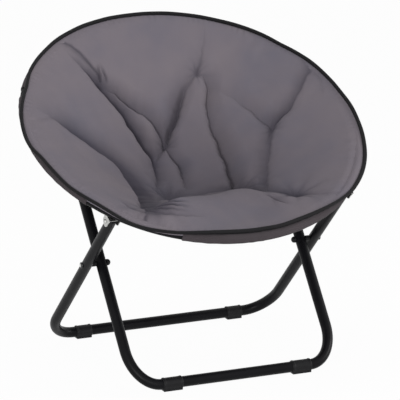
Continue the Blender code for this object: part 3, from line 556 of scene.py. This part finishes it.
# Each crease: how far it reaches to its left and to its right, the strength of its painted shade,
# and its points across and up the seat with their depths. The cloth is a puff that rolls over the
# crease on the short side, and on the long side a hollow that fades out.
CREASES = {
    "back_left_rim": (0.012, 0.018, 2.4, [
        (-0.214, 0.336, 0.009), (-0.186, 0.312, 0.010), (-0.163, 0.289, 0.009),
        (-0.144, 0.262, 0.010), (-0.137, 0.248, 0.009)]),
    "back_left_outer_streak": (0.007, 0.009, 2.2, [
        (-0.131, 0.273, 0.001), (-0.136, 0.258, 0.010), (-0.138, 0.239, 0.012)]),
    "back_left_inner_streak": (0.007, 0.010, 2.2, [
        (-0.128, 0.273, 0.001), (-0.122, 0.258, 0.008), (-0.122, 0.236, 0.007)]),
    "back_left_pull": (0.026, 0.016, 2.0, [
        (-0.204, 0.293, 0.002), (-0.181, 0.265, 0.009), (-0.164, 0.245, 0.014),
        (-0.145, 0.224, 0.018)]),
    "middle_left": (0.042, 0.020, 2.0, [
        (-0.149, 0.228, 0.016), (-0.130, 0.205, 0.018), (-0.110, 0.182, 0.020),
        (-0.093, 0.150, 0.022), (-0.081, 0.125, 0.024), (-0.073, 0.101, 0.024),
        (-0.063, 0.080, 0.022), (-0.054, 0.056, 0.018), (-0.053, 0.030, 0.015),
        (-0.068, -0.017, 0.010), (-0.087, -0.064, 0.005)]),
    "middle_left_branch": (0.038, 0.020, 1.0, [
        (-0.145, 0.224, 0.010), (-0.112, 0.217, 0.018), (-0.090, 0.200, 0.020),
        (-0.065, 0.180, 0.018), (-0.040, 0.166, 0.015), (-0.028, 0.150, 0.016),
        (-0.015, 0.124, 0.018), (-0.007, 0.100, 0.018)]),
    "left_hollow": (0.072, 0.020, 4.4, [
        (-0.313, 0.091, 0.002), (-0.290, 0.079, 0.006), (-0.264, 0.063, 0.008),
        (-0.233, 0.043, 0.009), (-0.201, 0.026, 0.010), (-0.175, 0.009, 0.011),
        (-0.159, -0.010, 0.013), (-0.158, -0.048, 0.017), (-0.156, -0.088, 0.021),
        (-0.163, -0.136, 0.024), (-0.210, -0.254, 0.020)]),
    "back_right_rim": (0.024, 0.026, 0.9, [
        (0.159, 0.344, 0.001), (0.144, 0.302, 0.004), (0.129, 0.271, 0.007),
        (0.115, 0.240, 0.010)]),
    "middle_right": (0.022, 0.046, 1.1, [
        (0.110, 0.235, 0.006), (0.088, 0.220, 0.010), (0.074, 0.210, 0.015),
        (0.064, 0.192, 0.021), (0.051, 0.173, 0.024), (0.035, 0.146, 0.024),
        (0.014, 0.123, 0.023), (-0.005, 0.096, 0.018), (-0.026, 0.073, 0.012),
        (-0.056, 0.038, 0.008)]),
    "right_hollow": (0.040, 0.022, 0.45, [
        (0.114, 0.234, 0.006), (0.123, 0.226, 0.011), (0.129, 0.216, 0.016),
        (0.126, 0.193, 0.019), (0.117, 0.163, 0.019), (0.111, 0.135, 0.018),
        (0.114, 0.099, 0.021), (0.117, 0.063, 0.024), (0.117, 0.017, 0.026),
        (0.111, -0.035, 0.027), (0.099, -0.085, 0.025)]),
    "middle_tail": (0.032, 0.018, 0.9, [
        (-0.008, 0.090, 0.013), (-0.004, 0.068, 0.014), (0.003, 0.049, 0.017),
        (0.012, 0.033, 0.018), (0.006, 0.001, 0.012), (-0.003, -0.041, 0.006)]),
    "right_side": (0.022, 0.042, 1.5, [
        (0.363, 0.150, 0.012), (0.326, 0.109, 0.014), (0.303, 0.085, 0.012),
        (0.280, 0.064, 0.018), (0.247, 0.048, 0.019), (0.231, 0.031, 0.015),
        (0.215, 0.001, 0.013), (0.189, -0.053, 0.012), (0.161, -0.119, 0.014),
        (0.146, -0.152, 0.010)]),
    "right_side_branch": (0.036, 0.022, 0.8, [
        (0.138, 0.191, 0.002), (0.182, 0.142, 0.006), (0.209, 0.097, 0.011),
        (0.231, 0.040, 0.015)]),
    "roll_first_streak": (0.007, 0.010, 1.6, [
        (-0.214, -0.271, 0.020), (-0.202, -0.286, 0.016), (-0.184, -0.300, 0.009),
        (-0.153, -0.313, 0.001)]),
    "roll_second_streak": (0.006, 0.010, 2.6, [
        (-0.208, -0.258, 0.020), (-0.195, -0.270, 0.017), (-0.174, -0.285, 0.012),
        (-0.122, -0.297, 0.001)]),
    "roll_third_streak": (0.006, 0.010, 2.6, [
        (-0.199, -0.250, 0.020), (-0.182, -0.260, 0.018), (-0.160, -0.272, 0.013),
        (-0.112, -0.281, 0.001)]),
    "roll_fourth_streak": (0.006, 0.010, 2.6, [
        (-0.188, -0.243, 0.010), (-0.168, -0.249, 0.016), (-0.146, -0.258, 0.011),
        (-0.105, -0.265, 0.001)]),
    "front_lip": (0.020, 0.008, 1.6, [
        (-0.221, -0.294, 0.004), (-0.192, -0.302, 0.011), (-0.146, -0.310, 0.010),
        (-0.089, -0.310, 0.002)]),
    "roll_left_end": (0.014, 0.009, 1.0, [
        (-0.253, -0.213, 0.001), (-0.248, -0.223, 0.007), (-0.243, -0.256, 0.009),
        (-0.227, -0.282, 0.012)]),
    "left_rim": (0.010, 0.014, 0.8, [
        (-0.400, 0.044, 0.001), (-0.351, 0.078, 0.004), (-0.309, 0.094, 0.005)]),
    "roll_front": (0.024, 0.034, 0.8, [
        (0.109, -0.225, 0.002), (0.105, -0.257, 0.005), (0.103, -0.302, 0.001)]),
    "roll_right_end": (0.014, 0.024, 1.0, [
        (0.187, -0.236, 0.013), (0.218, -0.282, 0.009), (0.267, -0.294, 0.002)]),
    "right_rim": (0.010, 0.016, 1.0, [
        (0.357, 0.139, 0.004), (0.366, 0.117, 0.007), (0.366, 0.089, 0.004),
        (0.356, 0.055, 0.001)]),
    "roll_foot": (0.034, 0.012, 3.2, [
        (-0.151, -0.179, 0.002), (-0.103, -0.121, 0.005), (-0.057, -0.084, 0.006),
        (-0.009, -0.081, 0.006), (0.039, -0.085, 0.006), (0.088, -0.095, 0.007),
        (0.114, -0.113, 0.007), (0.129, -0.144, 0.006), (0.146, -0.179, 0.006),
        (0.163, -0.215, 0.007), (0.183, -0.234, 0.006), (0.201, -0.245, 0.001)]),
    "front_seam": (0.004, 0.006, 1.8, [
        (-0.225, -0.300, 0.012), (-0.229, -0.312, 0.012), (-0.254, -0.367, 0.010)]),
    "roll_right_pleat": (0.016, 0.007, 1.5, [
        (0.100, -0.238, 0.004), (0.108, -0.255, 0.011), (0.117, -0.273, 0.012),
        (0.127, -0.293, 0.003)]),
}
CREASE_DEPTH = 1.3
CREASE_ROUND = 0.0026
CREASE_JOIN = 4
HOLLOW_POWER = 2.2
# Painted shade: full in a crease this deep, and fading this fast from the puff's edge
PAINTED_SHADE_FULL_DEPTH = 0.030
PAINTED_SHADE_EDGE = 0.0035
# Painted shade in a hollow: each part's share and how steeply it rises towards the crease
HOLLOW_PAINTED_SHADES = ((0.75, 1.5), (0.25, 6))
WAVER = 0.0012
# Shade painted darker towards the bottom of the bowl: its strength, how far forward its middle
# lies, its reach
BOTTOM_SHADE = 0.44
BOTTOM_FORWARD = 0.070
BOTTOM_REACH = 0.215
# Where ties inside hold the cloth down: across, up the seat, depth, width
TIES = [
    (-0.062, -0.080, 0.024, 0.029), (0.104, -0.106, 0.024, 0.025), (0.178, -0.236, 0.024, 0.025),
    (0.110, 0.234, 0.012, 0.009), (-0.190, -0.258, 0.014, 0.030), (-0.007, 0.096, 0.012, 0.010),
    (0.231, 0.036, 0.010, 0.009),
]
# Shade painted on each tie and on its pleats
TIE_SHADE = 0.70
PLEATS = 9
PLEAT_REACH = 2.3
PLEAT_DEPTH = 0.24
PLEAT_SHADE = 0.7
PLEAT_TURN = 40


def rounded_line(points):
    """A line of points with its corners cut twice, a quarter of the way along each run."""
    line = np.array(points)
    for _ in range(2):
        near, far = 0.75 * line[:-1] + 0.25 * line[1:], 0.25 * line[:-1] + 0.75 * line[1:]
        cut = np.stack([near, far], axis=1).reshape(-1, line.shape[1])
        line = np.concatenate([line[:1], cut, line[-1:]])
    return line


def underside(x, up):
    """Height of the bowl's underside: a rounded cone from the rim, deepest before the middle."""
    share = np.clip(np.hypot(x, up) / RIM_INNER, 0, 1)
    drawn = np.hypot(x, up + SAG_FORWARD * (1 - share**2))
    full = np.hypot(RIM_INNER, SAG_ROUNDING)
    sunk = (full - np.hypot(drawn, SAG_ROUNDING)) / (full - SAG_ROUNDING)
    return UNDERSIDE_LIFT - SAG_DEPTH * sunk


def laid_over(shade, next_shade):
    """Two painted shades laid over each other: what each leaves of the colour is multiplied."""
    return 1 - (1 - shade) * (1 - next_shade)


def creases_at(x, up):
    """How far the cloth is drawn in, and how much shade is painted on it, from 0 on open cloth to
    1.

    A crease is a quarter round on its short side and a soft hollow on its long side, and creases
    add up as powers do. A tie is a bell with pleats round it. Shade is painted in each crease, on
    each tie and its pleats, and darker towards the bottom of the bowl.
    """
    pull, painted_shade = np.zeros(np.shape(x)), np.zeros(np.shape(x))
    # The lines waver, in waves of so many radians to the metre
    x, up = (x + WAVER * (np.sin(97 * up + 2 * np.sin(41 * x)) + 0.6 * np.sin(233 * up + 120 * x)),
             up + WAVER * (np.sin(89 * x + 1.3) + 0.6 * np.sin(251 * x - 90 * up)))
    for left_width, right_width, shade, points in CREASES.values():
        line = rounded_line(points)
        short = min(left_width, right_width)
        nearest = np.full(np.shape(x), np.inf)
        depth = np.zeros(np.shape(x))
        width = np.full(np.shape(x), short)
        for (x0, u0, d0), (x1, u1, d1) in zip(line, line[1:]):
            run_x, run_u = x1 - x0, u1 - u0
            along = (x - x0) * run_x + (up - u0) * run_u
            share = np.clip(along / (run_x**2 + run_u**2), 0, 1)
            off_x, off_u = x - x0 - share * run_x, up - u0 - share * run_u
            side_width = np.where(run_x * off_u - run_u * off_x > 0, left_width, right_width)
            away = np.hypot(off_x, off_u)
            closer = away < nearest
            nearest = np.where(closer, away, nearest)
            depth = np.where(closer, d0 + share * (d1 - d0), depth)
            width = np.where(closer, side_width, width)
        near = 1 - np.clip((np.hypot(nearest, CREASE_ROUND) - CREASE_ROUND) / width, 0, 1)
        long_side = width > short
        puff, hollow = 1 - np.sqrt(1 - near * near), near**HOLLOW_POWER
        drawn = CREASE_DEPTH * depth * np.where(long_side, hollow, puff)
        pull = (pull**CREASE_JOIN + drawn**CREASE_JOIN) ** (1 / CREASE_JOIN)
        # Shade is painted in the hollow and along the puff's edge
        hollow_painted_tone = sum(part * near**power for part, power in HOLLOW_PAINTED_SHADES)
        painted_tone = np.where(long_side, hollow_painted_tone, np.exp(-((nearest / PAINTED_SHADE_EDGE) ** 2)))
        painted_shade = laid_over(painted_shade, np.minimum(shade * depth / PAINTED_SHADE_FULL_DEPTH * painted_tone, 1))
    for tie_x, tie_up, depth, width in TIES:
        away = np.hypot(x - tie_x, up - tie_up) / width
        drawn = np.exp(-(away**2))
        around = np.arctan2(up - tie_up, x - tie_x)
        pleats = 0.5 + 0.5 * np.sin(PLEATS * around + PLEAT_TURN * tie_x)
        pleats = pleats**2 * (np.exp(-((away / PLEAT_REACH) ** 2)) - drawn)
        pull = np.hypot(pull, depth * (drawn + PLEAT_DEPTH * pleats))
        # Shade is painted on the tie and its pleats
        painted_shade = laid_over(painted_shade, TIE_SHADE * (drawn + PLEAT_SHADE * pleats))
    # Shade is painted darker towards the bottom of the bowl
    bottom = np.exp(-(np.hypot(x, up + BOTTOM_FORWARD) / BOTTOM_REACH) ** 3)
    return np.minimum(pull, PAD_CROWN), laid_over(painted_shade, BOTTOM_SHADE * bottom)


def knee_roll(x, up):
    """Height of the roll under the knees: a ridge on an eased crest, steeper behind it."""
    places, crests, heights = np.transpose(KNEE_ROLL)
    shifts = np.linspace(-ROLL_EASE, ROLL_EASE, ROLL_EASE_STEPS)
    crest, height = (sum(np.interp(x + shift, places, values) for shift in shifts) / len(shifts)
                     for values in (crests, heights))
    width = np.where(up > crest, ROLL_BACK_WIDTH, ROLL_FRONT_WIDTH)
    return height * np.exp(-(((up - crest) / width) ** 2))


def bowl_top(x, up):
    """Height of the padded top: the underside and its padding, dented, puckered at the rim."""
    share = np.clip(np.hypot(x, up) / RIM_OUTER, 0, 1)
    full = 1 - share**PAD_CROWN_POWER
    dents = DENT * (np.sin(41 * x + 9 * up + 0.5) * np.sin(33 * up - 14 * x + 1.1)
                    + 0.6 * np.sin(83 * x - 31 * up + 2.0) * np.sin(71 * up + 40 * x))
    around = np.arctan2(x, -up)
    puckers = np.sin(PUCKERS * around + 2.5 * np.sin(5 * around))
    puckers *= PUCKER * share**PUCKER_POWER * (0.5 + 0.5 * np.sin(11 * around + 1))
    padding = full * (PAD_CROWN + knee_roll(x, up) + dents - creases_at(x, up)[0])
    return underside(x, up) + PAD_EDGE + padding + puckers


def bowl_panel(name, angles, rows, side, node):
    """One panel: lines ruled from the fold line to the rim, down its edge and back underneath."""
    half_fold = math.sqrt(PANEL_RIM**2 - HINGE_SETBACK**2)
    place = half_fold * np.linspace(1, -1, len(angles)) * np.sign(np.sin(angles[0]))
    above = np.linspace(0, 1, rows - 1)[1:]
    below = np.linspace(1, 0, rows // ROWS_TO_ONE_BELOW)
    share = np.concatenate([[0, EDGE_ROW], above, below])[:, None]
    x = (1 - share) * place + share * PANEL_RIM * np.sin(angles)
    up = (1 - share) * HINGE_SETBACK - share * PANEL_RIM * np.cos(angles)
    over = np.arange(len(share))[:, None] < rows
    out = np.where(over, bowl_top(x, up), underside(x, up))
    panel = piece_from_grid(name, on_seat(x, up, out), cloth, wrap_rows=True, wrap_columns=False)
    lay_uv(panel, x, up)
    # The panel's top carries the creases' painted shade, its underside none
    mark_painted_shade(panel, np.where(over, creases_at(x, up)[1], 0))
    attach(panel, side + "_hoop")
    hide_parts(node)
    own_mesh(panel)


panel_angle = math.acos(-HINGE_SETBACK / PANEL_RIM)
seat_angles = np.linspace(panel_angle, -panel_angle, PANEL_LINES)
back_angles = np.linspace(panel_angle, 2 * math.pi - panel_angle, PANEL_LINES)
bowl_panel("seat_panel", seat_angles, SEAT_ROWS, "front", "seat_cushion")
bowl_panel("back_panel", back_angles, BACK_ROWS, "rear", "back_cushion")

# Rim: the same cloth turned over a thin pad and sewn to the tunnels, a ring round the hoop. Its
# seam runs along the outer top of the tube and creeps inwards at the front, where the knee roll
# pulls it.
RIM_REACH = 0.0136
RIM_CLEARANCE = 0.0125
RIM_TUCK = math.radians(150)
RIM_TOP_POINTS = 18
RIM_UNDER_POINTS = 9
RIM_SLOPE_STEP = 0.002
RIM_PUCKER = 0.0011
RIM_PUCKERS = 173
RIM_DRAWN = 0.16
SKIRT_DEPTH = 0.018
SKIRT_TOP_REACH = 0.3728
SKIRT_FOOT_REACH = 0.3724
RING_STEPS = 960
# Where the seam lies: degrees round the hoop from its front, and degrees up round the tube
SEAM_TURNS = [
    (0, 119), (5, 117), (9, 106), (13, 108), (18, 112), (22, 103), (25, 96), (30, 81), (35, 65),
    (40, 47), (45, 32), (52, 27), (60, 23), (65, 33), (70, 45), (75, 54), (80, 64), (90, 70),
    (97, 82), (104, 79), (110, 77), (115, 71), (120, 80), (127, 92), (133, 82), (140, 76),
    (150, 80), (165, 75), (177, 71), (181, 76), (190, 68), (194, 72), (200, 63), (206, 67),
    (212, 64), (220, 74), (235, 74), (239, 86), (243, 94), (247, 85), (250, 80), (255, 65),
    (260, 50), (265, 41), (270, 33), (275, 38), (279, 60), (286, 61), (290, 56), (295, 48),
    (300, 53), (307, 59), (312, 50), (316, 37), (320, 26), (325, 31), (330, 43), (335, 57),
    (340, 77), (345, 97), (350, 117), (354, 123), (360, 119),
]
SEAM_EASE_STEPS = 21

ring_turn = np.linspace(0, 2 * math.pi, RING_STEPS, endpoint=False)[:, None]
turns = np.interp(np.degrees(ring_turn[:, 0]), *np.transpose(SEAM_TURNS))
ease = np.hanning(SEAM_EASE_STEPS)
turns = np.convolve(np.tile(turns, 3), ease / ease.sum(), "same")[RING_STEPS:2 * RING_STEPS]
seam = np.radians(turns)[:, None]
edge_reach, edge_out = HOOP_RADIUS + RIM_REACH * np.cos(seam), RIM_REACH * np.sin(seam)
# The top leaves the bowl at the bowl's own slope and comes level to the seam
share = np.linspace(0, 1, RIM_TOP_POINTS)[None, :]
span = edge_reach - PANEL_RIM
top_reach = PANEL_RIM + share * span
just_in = PANEL_RIM - RIM_SLOPE_STEP
inside = bowl_top(PANEL_RIM * np.sin(ring_turn), -PANEL_RIM * np.cos(ring_turn))
farther_in = bowl_top(just_in * np.sin(ring_turn), -just_in * np.cos(ring_turn))
slope = (inside - farther_in) / RIM_SLOPE_STEP
top_out = inside + slope * span * share * (1 - share) ** 2
top_out = top_out + (edge_out - inside) * share**2 * (3 - 2 * share)
pucker = np.sin(RIM_PUCKERS * ring_turn + 2.4 * np.sin(9 * ring_turn))
pucker *= 0.5 + 0.5 * np.sin(23 * ring_turn + 1.0)
top_out = top_out + RIM_PUCKER * pucker * 4 * share**2 * (1 - share)
# The rim's top carries on the creases and their painted shade
drawn, painted_tone = creases_at(top_reach * np.sin(ring_turn), -top_reach * np.cos(ring_turn))
top_out = top_out - RIM_DRAWN * drawn * 4 * share * (1 - share)
# Then it tucks in under the seam, over the tube, and ends in a skirt inside the hoop
under_turn = seam + (RIM_TUCK - seam) * np.linspace(0, 1, RIM_UNDER_POINTS)[None, :]
under_reach = HOOP_RADIUS + RIM_CLEARANCE * np.cos(under_turn)
under_out = RIM_CLEARANCE * np.sin(under_turn)
skirt_reach = np.tile((SKIRT_TOP_REACH, SKIRT_FOOT_REACH, PANEL_RIM, PANEL_RIM), (RING_STEPS, 1))
skirt_out = np.tile((0.0, -SKIRT_DEPTH, -SKIRT_DEPTH, 0.0), (RING_STEPS, 1))
reach = np.concatenate([top_reach, under_reach, skirt_reach], axis=1)
out = np.concatenate([top_out, under_out, skirt_out], axis=1)
ring_x, ring_up = reach * np.sin(ring_turn), -reach * np.cos(ring_turn)
rim = piece_from_grid("bowl_rim", on_seat(ring_x, ring_up, out)[:, ::-1], cloth, wrap_rows=True)
lay_uv(rim, ring_x[:, ::-1], ring_up[:, ::-1])
# Painted shade on the rim's top only, none below it
below_rim = np.zeros((RING_STEPS, reach.shape[1] - painted_tone.shape[1]))
mark_painted_shade(rim, np.concatenate([painted_tone, below_rim], axis=1)[:, ::-1])
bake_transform(rim)

# Binding: black woven tape folded over the raw edge of the rim and stitched, which stands as a
# soft bead along the seam. It wanders a little, as tape does that is eased round a curve by hand.
BINDING_REACH = 0.0165
BINDING_TALL = 0.0050
BINDING_THICK = 0.0038
BINDING_SIDES = 20
BINDING_WANDER = 0.0004
WANDER_SHIFT = 90
RIBS_TO_THE_METRE = 350
TAPE_BLACK = (0.0072, 0.0069, 0.0078)

tape, tree, shader, place = shader_of("binding_tape_black", TAPE_BLACK, roughness=0.8)
shader.inputs["Specular IOR Level"].default_value = 0.2
flat = tree.nodes.new("ShaderNodeUVMap").outputs["UV"]
ribs = ribs_of(tree, flat, "X", RIBS_TO_THE_METRE, distortion=0.6).outputs["Fac"]
rib_tones = [(0.1, shaded(TAPE_BLACK, 0.6)), (0.9, shaded(TAPE_BLACK, 1.5))]
tree.links.new(ramp_of(tree, ribs, rib_tones), shader.inputs["Base Color"])
bump_of(tree, shader, ribs, strength=0.35, distance=0.0004)

wander = np.sin(7 * ring_turn + 0.6) + 0.7 * np.sin(13 * ring_turn + 2.1)
wander = BINDING_WANDER * (wander + 0.5 * np.sin(31 * ring_turn + 4.0)) / (1 + 0.7 + 0.5)
section = np.linspace(0, 2 * math.pi, BINDING_SIDES, endpoint=False)[None, :]
tall, thick = BINDING_REACH + BINDING_TALL * np.cos(section), BINDING_THICK * np.sin(section)
bead = HOOP_RADIUS + tall * np.cos(seam) - thick * np.sin(seam) + wander
bead_out = tall * np.sin(seam) + thick * np.cos(seam) + np.roll(wander, WANDER_SHIFT)
points = round_seat(bead, ring_turn, bead_out)
binding = piece_from_grid("binding", points[:, ::-1], tape, wrap_rows=True)
lay_uv(binding, np.broadcast_to(ring_turn * HOOP_RADIUS, bead.shape)[:, ::-1],
       np.broadcast_to(section * BINDING_TALL, bead.shape)[:, ::-1])
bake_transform(binding)
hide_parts("front_binding", "rear_binding")

# Hems: the turned-down edge of the bowl's cloth, a strip on the tube where no tunnel covers it.
# It is sewn under the tape and hugs the tube below it, on both sides of the front tunnel.
HEM_OUTER = 0.0114
HEM_INNER = 0.0099
HEM_REACH = math.radians(24)
HEM_POINTS = 90
HEM_ROWS = 8
HEM_RIPPLE = 0.0003
HEM_RIPPLE_STEP = 0.004
HEMS = {"hem_left": (LEFT_BARE, FRONT_START), "hem_right": (FRONT_END, RIGHT_BARE)}
for name, (start, end) in HEMS.items():
    angle = np.linspace(start, end, HEM_POINTS)[:, None]
    top = np.radians(np.interp(np.degrees(angle) % 360, np.degrees(ring_turn[:, 0]), turns))
    down = top - HEM_REACH * np.linspace(0, 1, HEM_ROWS)[None, :]
    below = np.concatenate([down, down[:, ::-1]], axis=1)
    radius = np.repeat((HEM_OUTER, HEM_INNER), HEM_ROWS)
    radius = radius + HEM_RIPPLE * np.sin(angle * HOOP_RADIUS / HEM_RIPPLE_STEP)
    points = round_seat(HOOP_RADIUS + radius * np.cos(below), angle, radius * np.sin(below))
    hem = piece_from_grid(name, points, cloth, caps=True)
    lay_uv(hem, np.broadcast_to(angle * HOOP_RADIUS, below.shape), below * HEM_OUTER)
    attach(hem, "front_hoop")

# Stage: a pale floor, soft studio lamps and the photograph's camera, which stands far off with a
# long lens. Seen by the camera, floor and world are paper white; the floor keeps a faint shadow.
CAMERA_TURN = math.radians(-22.452)
CAMERA_RISE = math.radians(14.411)
CAMERA_ROLL = math.radians(-0.7)
CAMERA_DISTANCE = 8.4395
CAMERA_AIM = Vector((-0.00268, -0.04888202, 0.38216))
CAMERA_LENS = 327.68
CAMERA_SENSOR = 36
CAMERA_SIGHT = 100
FLOOR_HALF = 20
FLOOR_HEIGHT = -0.0005
FLOOR_GREY = (0.8, 0.8, 0.8)
FLOOR_WHITE_SHARE = 0.965
PAPER_WHITE = (1, 1, 1, 1)
WORLD_LEVEL = 0.41
LAMP_AIM = Vector((0, 0, 0.45))
# Each lamp: its place, its side and its power
LAMPS = {
    "overhead": ((-0.3, 0.2, 2.9), 1.0, 12),
    "front": ((-0.6, -4.4, 1.1), 1.4, 30),
    "right": ((3.5, -1.5, 1.25), 1.2, 62),
    "left": ((-2.8, -3.4, 1.2), 1.2, 72),
}
scene = bpy.context.scene
scene.view_settings.view_transform = "Standard"
level = math.cos(CAMERA_RISE)
towards = Vector((math.sin(CAMERA_TURN) * level, -math.cos(CAMERA_TURN) * level,
                  math.sin(CAMERA_RISE)))
camera = bpy.data.objects.new("camera", bpy.data.cameras.new("camera"))
camera.location = CAMERA_AIM + CAMERA_DISTANCE * towards
roll = Quaternion((0, 0, 1), CAMERA_ROLL)
camera.rotation_euler = (towards.to_track_quat("Z", "Y") @ roll).to_euler()
camera.data.lens = CAMERA_LENS
camera.data.sensor_width = CAMERA_SENSOR
camera.data.clip_end = CAMERA_SIGHT
scene.collection.objects.link(camera)
scene.camera = camera

ends = (-FLOOR_HALF, FLOOR_HALF)
floor_x, floor_y = np.meshgrid(ends, ends, indexing="ij")
floor_grid = np.stack([floor_x, floor_y, np.full((2, 2), FLOOR_HEIGHT)], axis=-1)
floor_white, tree, shader, place = shader_of("floor_white", FLOOR_GREY, roughness=0.9)
floor = piece_from_grid("floor", floor_grid, floor_white, wrap_columns=False)
world = bpy.data.worlds.new("studio")
scene.world = world
world.use_nodes = True
daylight = world.node_tree.nodes["Background"]
daylight.inputs["Color"].default_value = PAPER_WHITE
daylight.inputs["Strength"].default_value = WORLD_LEVEL
for tree, lit, white_kind, share in (
    (floor_white.node_tree, shader.outputs["BSDF"], "ShaderNodeEmission", FLOOR_WHITE_SHARE),
    (world.node_tree, daylight.outputs["Background"], "ShaderNodeBackground", 1.0),
):
    white = tree.nodes.new(white_kind)
    white.inputs["Color"].default_value = PAPER_WHITE
    white.inputs["Strength"].default_value = 1.0
    light_path = tree.nodes.new("ShaderNodeLightPath")
    seen = light_path.outputs["Is Camera Ray"]
    for ray in ("Is Glossy Ray", "Is Transmission Ray"):
        either = tree.nodes.new("ShaderNodeMath")
        either.operation = "MAXIMUM"
        tree.links.new(seen, either.inputs[0])
        tree.links.new(light_path.outputs[ray], either.inputs[1])
        seen = either.outputs["Value"]
    part = tree.nodes.new("ShaderNodeMath")
    part.operation = "MULTIPLY"
    part.inputs[1].default_value = share
    tree.links.new(seen, part.inputs[0])
    mix = tree.nodes.new("ShaderNodeMixShader")
    tree.links.new(part.outputs["Value"], mix.inputs["Fac"])
    tree.links.new(lit, mix.inputs[1])
    tree.links.new(white.outputs[0], mix.inputs[2])
    ending = next(node for node in tree.nodes if node.bl_idname.startswith("ShaderNodeOutput"))
    tree.links.new(mix.outputs["Shader"], ending.inputs["Surface"])

for name, (spot, size, power) in LAMPS.items():
    lamp = bpy.data.lights.new(name, "AREA")
    lamp.size = size
    lamp.energy = power
    holder = bpy.data.objects.new(name, lamp)
    holder.location = spot
    holder.rotation_euler = (Vector(spot) - LAMP_AIM).to_track_quat("Z", "Y").to_euler()
    scene.collection.objects.link(holder)
